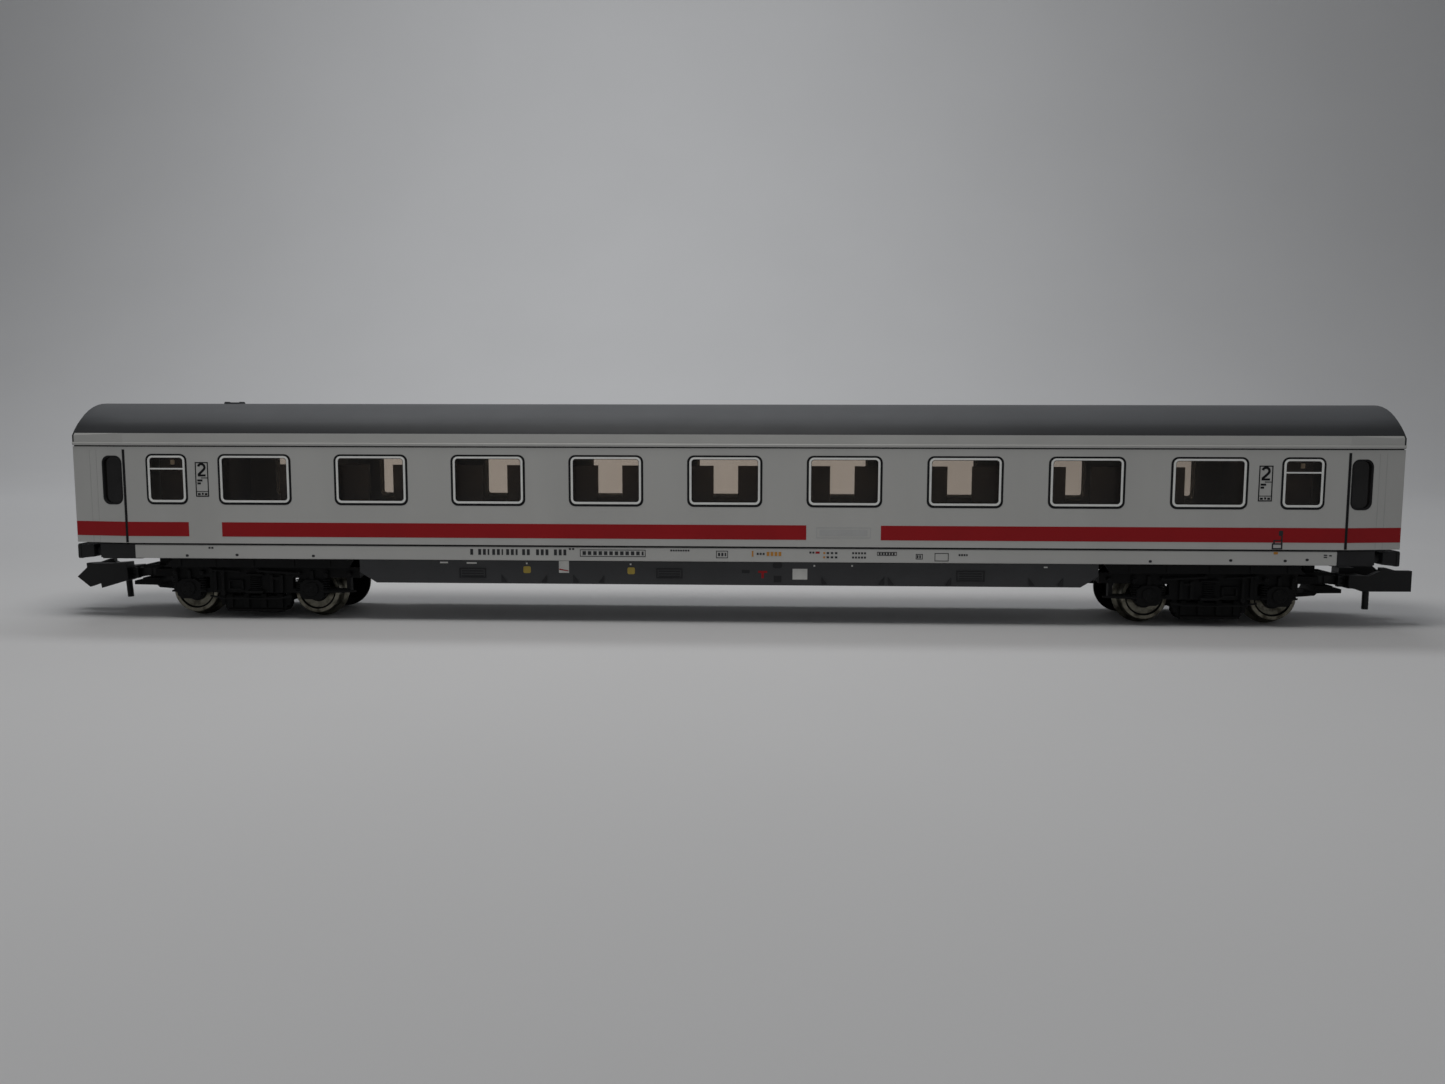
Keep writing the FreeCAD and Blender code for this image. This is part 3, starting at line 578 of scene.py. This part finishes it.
def class_board(shape, side, x):
    """A thin outlined board with the class figure at its head and small bars below."""
    x0, x1 = x - 0.82, x + 0.82
    outline(shape, side, x0, x1, 15.42, 19.68, 0.13, SUNK, PRINT)
    slab(shape, side, oblong(x - 0.1, x1, 17.68, 17.78), SUNK, PRINT)
    slab(shape, side, oblong(x0, x1, 16.02, 16.1), SUNK, PRINT)
    ribbon(shape, side, numeral_two(x - 0.02, 18.02, 0.8, 1.42), 0.29, SUNK, PRINT)
    slab(shape, side, oblong(x - 0.5, x + 0.48, 17.92, 18.16), SUNK, PRINT)
    for a, b, z in ((-0.58, 0.06, 17.3), (-0.58, -0.16, 16.94), (-0.58, -0.24, 15.62), (-0.08, 0.14, 15.66),
                    (0.28, 0.6, 15.62)):
        slab(shape, side, oblong(x + a, x + b, z, z + 0.24), SUNK, PRINT)


def side_print(label, side):
    """Small printed marks on the body side and solebar: bars and boxes in place of data panels."""
    black, orange, redder, board = Shape(), Shape(), Shape(), Shape()
    for x in (-BOARD, BOARD):
        class_board(board, side, x)
    board.make("class_boards_" + label, "coach", "print_black", "rubber")
    face = SOLE_FACE

    def bars(target, x0, x1, z, tall, step, wide):
        """A row of short bars centred on z."""
        x = x0
        while x < x1 - 0.1:
            slab(target, side, oblong(x, min(x + wide, x1), z - tall / 2, z + tall / 2), SUNK, PRINT, face)
            x += step

    for x0, x1 in ((-31.26, -30.6), (-30.27, -28.9), (-28.54, -27.2), (-26.81, -25.4), (-24.84, -23.7),
                   (-23.12, -21.6), (-20.91, -19.4)):
        bars(black, x0, x1, 8.78, 0.72, 0.58, 0.36)
    bars(black, -19.07, -18.3, 9.2, 0.22, 0.4, 0.26)
    for x0, x1, z0, z1 in ((-17.72, -9.66, 8.28, 9.16), (-1.04, 0.41, 8.2, 9.1), (18.49, 20.89, 8.62, 9.08),
                           (23.17, 24.01, 8.2, 8.85), (25.44, 27.12, 7.98, 8.98)):
        outline(black, side, x0, x1, z0, z1, 0.08, SUNK, PRINT, face)
    bars(black, -17.4, -9.9, 8.72, 0.46, 0.66, 0.42)
    bars(black, -6.62, -4.2, 9.1, 0.2, 0.3, 0.22)
    bars(black, -0.8, 0.2, 8.65, 0.4, 0.4, 0.26)
    bars(black, 3.91, 4.9, 8.75, 0.26, 0.36, 0.24)
    bars(orange, 3.31, 3.67, 8.75, 0.7, 0.5, 0.2)
    bars(orange, 5.12, 6.93, 8.75, 0.5, 0.48, 0.34)
    bars(black, 10.31, 11.0, 8.95, 0.24, 0.36, 0.24)
    bars(redder, 11.05, 11.55, 8.95, 0.26, 0.6, 0.5)
    for z in (8.9, 8.38):
        bars(orange, 11.99, 12.3, z, 0.24, 0.4, 0.24)
        bars(black, 12.4, 13.92, z, 0.24, 0.5, 0.3)
        bars(black, 15.48, 17.28, z, 0.24, 0.36, 0.24)
    bars(black, 18.7, 20.7, 8.85, 0.26, 0.34, 0.22)
    bars(black, 23.3, 23.9, 8.52, 0.36, 0.3, 0.18)
    bars(black, 28.32, 29.4, 8.75, 0.24, 0.3, 0.22)
    bars(black, -63.96, -63.32, 9.08, 0.22, 0.36, 0.26)
    for z in (9.0, 8.75):
        bars(black, 71.66, 72.1, z, 0.14, 0.5, 0.4)
    bars(black, 72.3, 72.63, 8.95, 0.16, 0.4, 0.3)
    for x, z in ((-66.68, 8.1), (-60.4, 8.21), (-50.82, 8.15), (51.22, 8.13), (60.74, 8.31), (67.16, 8.29),
                 (69.73, 8.43)):
        slab(black, side, rounded(x, z, 0.19, 0.15, 0.12, 3), SUNK, PRINT, face)
    outline(black, side, 65.45, 66.7, 9.68, 10.42, 0.17, SUNK, PRINT)
    for x, z0, z1 in ((65.6, 10.42, 10.75), (66.5, 10.42, 11.3)):
        slab(black, side, oblong(x, x + 0.18, z0, z1), SUNK, OVERPRINT)
    slab(black, side, oblong(65.6, 66.6, 10.7, 10.82), SUNK, OVERPRINT)
    slab(black, side, rounded(66.45, 11.62, 0.25, 0.32, 0.14, 3), SUNK, OVERPRINT)
    slab(orange, side, rounded(66.0, 9.22, 0.26, 0.15, 0.1, 3), SUNK, PRINT, face)
    black.make("side_marks_" + label, "coach", "mark", "rubber")
    orange.make("orange_marks_" + label, "coach", "print_orange", "light_grey")
    redder.make("red_marks_" + label, "coach", "red", "light_grey")


def small_parts(label, side):
    """A faint blank panel in the stripe's gap, a beige patch of painted light in each washroom window where
    the far side shows through, and a pale strip of painted light inside the foot of each window.
    """
    panel, washroom_light, glazing_edge_glow = Shape(), Shape(), Shape()
    # Pale strip of painted light where light shines through the lower edge of the glazing.
    for x in WINDOWS:
        slab(glazing_edge_glow, side, rounded(x, 14.76, 3.7, 0.13, 0.05, 3), -1.5, -1.38)
    glazing_edge_glow.make("window_edge_glow_" + label, "coach", "frame_white", "light_grey", 35)
    outline(panel, side, 11.1, 17.7, 10.72, 12.05, 0.1, SUNK, 0.012)
    slab(panel, side, oblong(11.5, 17.3, 11.0, 11.76), SUNK, 0.012)
    # Beige patch of painted light where the far side shows through each washroom.
    for x in WASHROOMS:
        slab(washroom_light, side, rounded(x + 0.3, 19.62, 0.24, 0.3, 0.08, 3), -1.5, -1.38)
    panel.make("blank_panel_" + label, "coach", "faint", "light_grey")
    washroom_light.make("washroom_light_patch_" + label, "coach", "beige", "light_grey", 30)


def skirt_print(label, side):
    """Plain coloured patches on the equipment skirt, and vents and gussets in a grey darker than the skirt
    that is painted shade of its recesses.
    """
    half = SKIRT_FACE
    yellow, white, dark, redder = Shape(), Shape(), Shape(), Shape()
    for x, z in ((-24.38, 6.55), (-11.5, 6.5)):
        slab(yellow, side, rounded(x, z, 0.46, 0.42, 0.2, 4), SUNK, PRINT, half)
    for x, z, w, t in ((-34.7, 7.38, 0.5, 0.09), (-31.25, 7.34, 0.62, 0.09), (-24.41, 7.33, 0.1, 0.1),
                       (-11.57, 7.3, 0.1, 0.1), (10.95, 7.26, 0.1, 0.1), (15.55, 7.29, 0.1, 0.1),
                       (38.93, 7.26, 0.22, 0.08), (-19.8, 6.93, 0.62, 0.74), (9.2, 6.22, 0.9, 0.66)):
        slab(white, side, oblong(x - w, x + w, z - t, z + t), SUNK, PRINT, half)
    slanting = [(-20.38, 6.55), (-19.25, 6.38), (-19.25, 6.5), (-20.38, 6.72)]
    slab(redder, side, slanting, 0.0, PRINT + 0.01, half)
    slab(redder, side, oblong(4.1, 5.2, 6.35, 6.6), SUNK, PRINT, half)
    slab(redder, side, oblong(4.5, 4.8, 5.7, 6.35), SUNK, PRINT, half)
    # Everything in the dark shape is drawn darker than the skirt: painted shade of the skirt's recesses.
    for x0, x1, z0, z1 in ((-32.8, -29.5, 5.5, 6.7), (-8.4, -5.2, 5.6, 6.8), (28.2, 31.6, 5.45, 6.75)):
        outline(dark, side, x0, x1, z0, z1, 0.12, SUNK, 0.1, half)
        for n in range(3):
            slat = z1 - 0.42 - 0.3 * n
            slab(dark, side, oblong(x0 + 0.3, x1 - 0.3, slat, z1 - 0.3 - 0.3 * n), SUNK, 0.06, half)
    for x, lean in ((-27.2, 1), (-22.3, -1), (-18.3, 1), (-15.2, -1), (12.2, 1), (19.1, -1), (20.3, 1),
                    (27.2, -1), (37.3, 1), (40.7, -1)):
        slab(dark, side, [(x - 0.36 * lean, 5.0), (x + 0.36 * lean, 5.0), (x - 0.36 * lean, 5.9)][::lean],
             SUNK, 0.14, half)
    slab(dark, side, oblong(2.1, 3.05, 6.3, 6.7), SUNK, PRINT, half)
    slab(dark, side, oblong(6.0, 6.95, 5.2, 6.0), SUNK, PRINT, half)
    slab(dark, side, rounded(6.45, 7.3, 0.56, 0.36, 0.3, 5), SUNK, 0.12, half)
    yellow.make("yellow_patches_" + label, "coach", "print_yellow", "light_grey", 30)
    white.make("white_patches_" + label, "coach", "print_white", "light_grey")
    redder.make("red_patches_" + label, "coach", "red", "light_grey")
    dark.make("skirt_detail_" + label, "coach", "recess", "dark_grey", 30)


def trim(label, side):
    """Gutter bead along the roof, and black strips of painted shade in the joints above and below the body
    side.
    """
    bead, joint_shade = Shape(), Shape()
    stops = [-END, -STRAIGHT, STRAIGHT, END]
    rows = []
    for x in stops:
        ring = []
        for n in range(9):
            a = math.radians(-90 + 180 * n / 8)
            ring.append(on_side(side, x, 21.92 + 0.17 * math.sin(a), 0.02 + 0.13 * math.cos(a)))
        rows.append(ring + [on_side(side, x, 22.09, -0.2), on_side(side, x, 21.75, -0.2)])
    bead.rings(rows)
    # Black strips laid deep in the joints are painted shade, so that the narrow gaps read as dark.
    band(joint_shade, side, -END + 0.2, END - 0.2, SHELL_HIGH.z - 0.02, SHELL_HIGH.z + 0.2, -0.7, 0.0)
    band(joint_shade, side, -73.2, 73.2, SOLE_HIGH, SHELL_LOW.z + 0.02, -0.9, -0.04)
    band(joint_shade, side, -79.5, 79.5, SOLE_HIGH, SHELL_LOW.z, -1.3, -0.6)
    bead.make("gutter_" + label, "coach", "light", "light_grey", 40)
    joint_shade.make("body_joint_shade_" + label, "coach", "rubber", "rubber")


for label, side in SIDES:
    window_frames(label, side)
    stripe(label, side)
    doors(label, side)
    side_print(label, side)
    skirt_print(label, side)
    small_parts(label, side)
    trim(label, side)

for name, width in (("body_shell", 0.12), ("roof", 0.12), ("chassis", 0.1), ("equipment_skirt", 0.12),
                    ("buffer_beam_left", 0.1), ("buffer_beam_right", 0.1), ("bogie_frame_left", 0.07),
                    ("bogie_frame_right", 0.07), ("brake_rig_left", 0.08), ("brake_rig_right", 0.08),
                    ("coupler_head_left", 0.08), ("coupler_head_right", 0.08)):
    soften(NODES[name], width, weld=True)


def bogie_side(end, side):
    """Axleboxes, springs, dampers and fittings on one side frame. u runs outwards from the pivot."""
    name = ("left" if end < 0 else "right")
    label = name + ("_near" if side == NEAR else "_far")
    body = "bogie_" + name
    face = node_box("bogie_frame_" + name)[1].y

    def at(u, z, d):
        """A point u outwards from the pivot and d outside the frame's face."""
        return (end * (BOGIE + u), side * (face + d), z)

    def plate(shape, loop, d0, d1):
        """A plate with the given outline, from d0 to d1 outside the frame's face."""
        shape.rings([[at(u, z, d) for u, z in loop] for d in (d0, d1)])

    def round_boss(shape, u, z, profile):
        """A round boss of (radius, distance) pairs, standing on the frame's face."""
        shape.turned([(r, side * (face + d)) for r, d in profile], (end * (BOGIE + u), 0, z), "y", 24)

    boxes, springs, fittings = Shape(), Shape(), Shape()
    for axle in (-AXLE, AXLE):
        box = [(axle - 1.5, 2.95), (axle - 0.9, 2.55), (axle + 0.9, 2.55), (axle + 1.5, 2.95),
               (axle + 1.5, 4.5), (axle + 0.8, 5.05), (axle - 0.8, 5.05), (axle - 1.5, 4.5)]
        plate(boxes, box, -0.3, 0.42)
        round_boss(boxes, axle, AXLE_HIGH + 0.45, [(0, 0.3), (0.86, 0.3), (0.86, 0.58), (0.74, 0.66),
                                                    (0.34, 0.7), (0.3, 0.8), (0, 0.8)])
        for a in range(4):
            bolt = math.radians(45 + 90 * a)
            round_boss(boxes, axle + 0.6 * math.cos(bolt), AXLE_HIGH + 0.45 + 0.6 * math.sin(bolt),
                       [(0, 0.6), (0.1, 0.6), (0.1, 0.74), (0, 0.74)])
        guide = [(axle - 0.28, 4.9), (axle + 0.28, 4.9), (axle + 0.2, 6.2), (axle - 0.2, 6.2)]
        plate(fittings, guide, -0.2, 0.32)
        for reach in (-1.62, 1.62):
            for coil in range(5):
                z = 3.75 + 0.3 * coil
                springs.turned([(0.2, z - 0.09), (0.5, z - 0.06), (0.5, z + 0.06), (0.2, z + 0.09)],
                               (end * (BOGIE + axle + reach), side * (face - 0.1), 0), "z", 20)
            plate(fittings, oblong(axle + reach - 0.55, axle + reach + 0.55, 3.4, 3.62), -0.5, 0.45)
    for coil in range(7):
        z = 3.72 + 0.27 * coil
        springs.turned([(0.4, z - 0.1), (0.82, z - 0.07), (0.82, z + 0.07), (0.4, z + 0.1)],
                       (end * (BOGIE - 0.6), side * (face - 0.3), 0), "z", 24)
    plate(fittings, oblong(-1.7, 0.5, 3.3, 3.6), -0.9, 0.7)
    plate(fittings, oblong(-1.7, 0.5, 5.5, 5.75), -0.9, 0.6)
    for x0, x1, z0, z1, d in ((-4.15, -3.7, 3.35, 5.6, 0.35), (-2.9, -2.45, 3.35, 5.6, 0.35),
                              (-4.15, -2.45, 5.0, 5.35, 0.3), (0.9, 1.15, 3.7, 4.9, 0.3),
                              (2.6, 2.85, 3.7, 4.9, 0.3), (0.9, 2.85, 4.75, 4.95, 0.3),
                              (0.9, 2.85, 3.65, 3.85, 0.3), (4.3, 4.65, 3.6, 6.1, 0.3),
                              (-9.9, -9.4, 5.3, 6.2, 0.35), (9.2, 9.6, 3.6, 6.3, 0.35)):
        plate(fittings, oblong(x0, x1, z0, z1), -0.3, d)
    pull_rod = [at(5.2, 2.9, 0.2), at(3.3, 2.6, 0.15), at(-3.3, 2.6, 0.15), at(-5.2, 2.9, 0.2)]
    for path, radius in (([at(3.4, 3.2, 0.35), at(3.4, 6.1, 0.35)], 0.2),
                         ([at(-1.2, 6.15, 0.5), at(-6.2, 5.85, 0.5)], 0.19),
                         ([at(1.2, 6.05, 0.4), at(4.9, 6.2, 0.4)], 0.15),
                         ([at(-13.3, 3.6, 0.1), at(-9.6, 3.55, 0.25)], 0.15),
                         (pull_rod, 0.13)):
        fittings.tube(path, radius)
    for u, z in ((3.4, 3.3), (3.4, 6.0), (-1.2, 6.15), (-6.2, 5.85), (4.9, 6.2), (-12.6, 5.8), (-4.9, 5.85),
                 (6.1, 5.85), (-9.65, 5.7), (9.4, 5.85)):
        round_boss(fittings, u, z, [(0, -0.1), (0.3, -0.1), (0.3, 0.5), (0.22, 0.6), (0, 0.6)])
    shoe = node_box("brake_rig_" + name)[1].y - face
    sole = node_box("brake_rig_" + name)[0].z

    def shoe_plate(loop, d0, d1):
        """A plate over the side of the brake rig."""
        plate(fittings, loop, shoe + d0, shoe + d1)

    for u in (-3.2, -1.1, 1.1, 3.2):
        shoe_plate(oblong(u - 0.35, u + 0.35, sole + 0.5, 3.05), -0.2, 0.3)
    shoe_plate(oblong(-3.6, 3.6, sole + 0.06, sole + 0.38), -0.2, 0.25)
    for sign in (-1, 1):
        shoe_plate([(sign * 3.9, 1.5), (sign * 4.4, 1.6), (sign * 4.4, 2.1), (sign * 4.7, 2.2),
                    (sign * 4.7, 2.75), (sign * 4.5, 3.25), (sign * 3.9, 3.1)][::sign], -1.2, 0.1)
        bracket = [(sign * 3.9, 3.0), (sign * 4.3, 3.0), (sign * 4.3, 3.6), (sign * 3.5, 3.6)]
        shoe_plate(bracket[::sign], -1.2, 0.0)
    boxes.make("axleboxes_" + label, body, "black", "black", 35, 0.05)
    springs.make("springs_" + label, body, "black", "black", 50)
    fittings.make("bogie_fittings_" + label, body, "black", "black", 35, 0.04)


def wells():
    """Black sheets of painted shade inside the solebars that close the gap above each bogie, so that the
    wells read as dark.
    """
    # Painted shade: black sheets with ribs, placed where the wells above the bogies lie in shade.
    shade_apron = Shape()
    for end in (-1, 1):
        for side in (NEAR, FAR):
            outer, inner = SOLE_FACE - 0.35, SOLE_FACE - 0.75
            foot, head = WELL_FOOT, SOLE_LOW + 0.05
            loop = [(46.6, foot), (69.9, foot), (68.6, head), (45.9, head)]
            shade_apron.rings([[(end * x, side * y, z) for x, z in loop] for y in (outer, inner)])
            for x in (49.0, 53.5, 58.6, 63.4, 67.8):
                rib = [(x - 0.15, foot + 0.1), (x + 0.15, foot + 0.1), (x + 0.15, head), (x - 0.15, head)]
                shade_apron.rings([[(end * u, side * y, z) for u, z in rib] for y in (outer, outer + 0.12)])
    shade_apron.make("bogie_well_shade", "coach", "black", "black", None, 0.04)


def wheel_details(number, middle):
    """A hub disc and a dark joint ring on the outer face of both wheels of one wheelset."""
    hubs, rings = Shape(), Shape()
    for side in (NEAR, FAR):
        low, high = node_box("wheel_%d_%s" % (number, "near" if side == NEAR else "far"))
        face = max(abs(low.y), abs(high.y))

        def ring(shape, profile):
            """A ring of (radius, distance) pairs about the axle, on the wheel's outer face."""
            shape.turned([(r, side * (face + d)) for r, d in profile], (middle, 0, AXLE_HIGH), "y", 48)

        ring(hubs, [(0.42, -0.1), (1.36, -0.1), (1.3, 0.03), (1.1, 0.08),
                    (0.9, 0.04), (0.5, 0.06), (0.42, 0.02)])
        ring(rings, [(2.14, -0.42), (2.29, -0.42), (2.29, -0.3), (2.14, -0.3)])
    hubs.make("hubs_%d" % number, "wheelset_%d" % number, "black", "black", 40)
    rings.make("tyre_joints_%d" % number, "wheelset_%d" % number, "black", "black", 40)


wells()
for end in (-1, 1):
    for label, side in SIDES:
        bogie_side(end, side)
for number, middle in enumerate((-BOGIE - AXLE, -BOGIE + AXLE, BOGIE - AXLE, BOGIE + AXLE), 1):
    wheel_details(number, middle)


# ---------------------------------------------------------------- stage

PAPER_LOW = -0.03               # the paper lies just under the wheels
PAPER_HALF = 900                # half width of the paper
PAPER_TOP = 900
BEND = 260                      # distance behind the middle where the paper starts to curve up
BEND_RADIUS = 300
BEND_STEPS = 16


def cyclorama():
    """A pale sheet that runs back from the front and curves up behind the object."""
    path = [(y, PAPER_LOW) for y in (-700, -300, 0, BEND)]
    for n in range(1, BEND_STEPS + 1):
        a = math.radians(90 * n / BEND_STEPS)
        path.append((BEND + BEND_RADIUS * math.sin(a), PAPER_LOW + BEND_RADIUS * (1 - math.cos(a))))
    path.append((BEND + BEND_RADIUS, PAPER_TOP))
    verts = [(x * MM, y * MM, z * MM) for y, z in path for x in (-PAPER_HALF, PAPER_HALF)]
    faces = [(a - 2, a - 1, a + 1, a) for a in range(2, 2 * len(path), 2)]
    mesh = bpy.data.meshes.new("backdrop")
    mesh.from_pydata(verts, [], faces)
    mesh.shade_smooth()
    thing = bpy.data.objects.new("backdrop", mesh)
    bpy.context.scene.collection.objects.link(thing)
    paper = Finish("pale_paper", 0.85).mottled((0.72, 0.72, 0.725), 60.0, 0.012)
    mesh.materials.append(paper.gloss(20, 0.04).grain(1.2, 0.01).material)


def softbox(name, spot, aim, wide, tall, power, colour):
    """A rectangular lamp of wide by tall millimetres at spot, turned towards aim."""
    lamp = bpy.data.lights.new(name, "AREA")
    lamp.shape = "RECTANGLE"
    lamp.size, lamp.size_y = wide * MM, tall * MM
    lamp.energy = power
    lamp.color = colour
    thing = bpy.data.objects.new(name, lamp)
    thing.location = Vector(spot) * MM
    way = Vector(aim) - Vector(spot)
    thing.rotation_euler = way.to_track_quat("-Z", "Y").to_euler()
    bpy.context.scene.collection.objects.link(thing)


def lights():
    """A small softbox overhead, a wash over the backdrop and a dim even surround."""
    softbox("overhead", (-20, -45, 178), (-6, 0, 0), 90, 68, 0.104, (1.0, 0.992, 0.975))
    softbox("backdrop_wash", (-76, 205, 380), (-48, 420, 38), 420, 160, 0.72, (0.97, 0.985, 1.0))
    world = bpy.data.worlds.new("studio")
    world.use_nodes = True
    back = world.node_tree.nodes["Background"]
    back.inputs["Color"].default_value = (0.96, 0.975, 1.0, 1)
    back.inputs["Strength"].default_value = 0.14
    bpy.context.scene.world = world


def camera():
    """A camera a little right of the middle, turned slightly left and looking down on the roof edge."""
    yaw, pitch, roll = 0.0366, 0.1028, 0.0021
    ahead = Vector((-math.sin(yaw) * math.cos(pitch), math.cos(yaw) * math.cos(pitch), -math.sin(pitch)))
    right = Vector((math.cos(yaw), math.sin(yaw), 0))
    down = ahead.cross(right)
    x_axis = right * math.cos(roll) - down * math.sin(roll)
    y_axis = -(right * math.sin(roll) + down * math.cos(roll))
    data = bpy.data.cameras.new("camera")
    data.lens, data.sensor_width = 28.33, 36.0
    data.clip_start, data.clip_end = 0.01, 10.0
    thing = bpy.data.objects.new("camera", data)
    turn = Matrix((x_axis, y_axis, -ahead)).transposed().to_4x4()
    spot = Vector((4.78, -146.34, 24.38)) * MM
    thing.matrix_world = Matrix.Translation(spot) @ turn
    bpy.context.scene.collection.objects.link(thing)
    bpy.context.scene.camera = thing


cyclorama()
lights()
camera()
bpy.context.scene.view_settings.view_transform = "Standard"
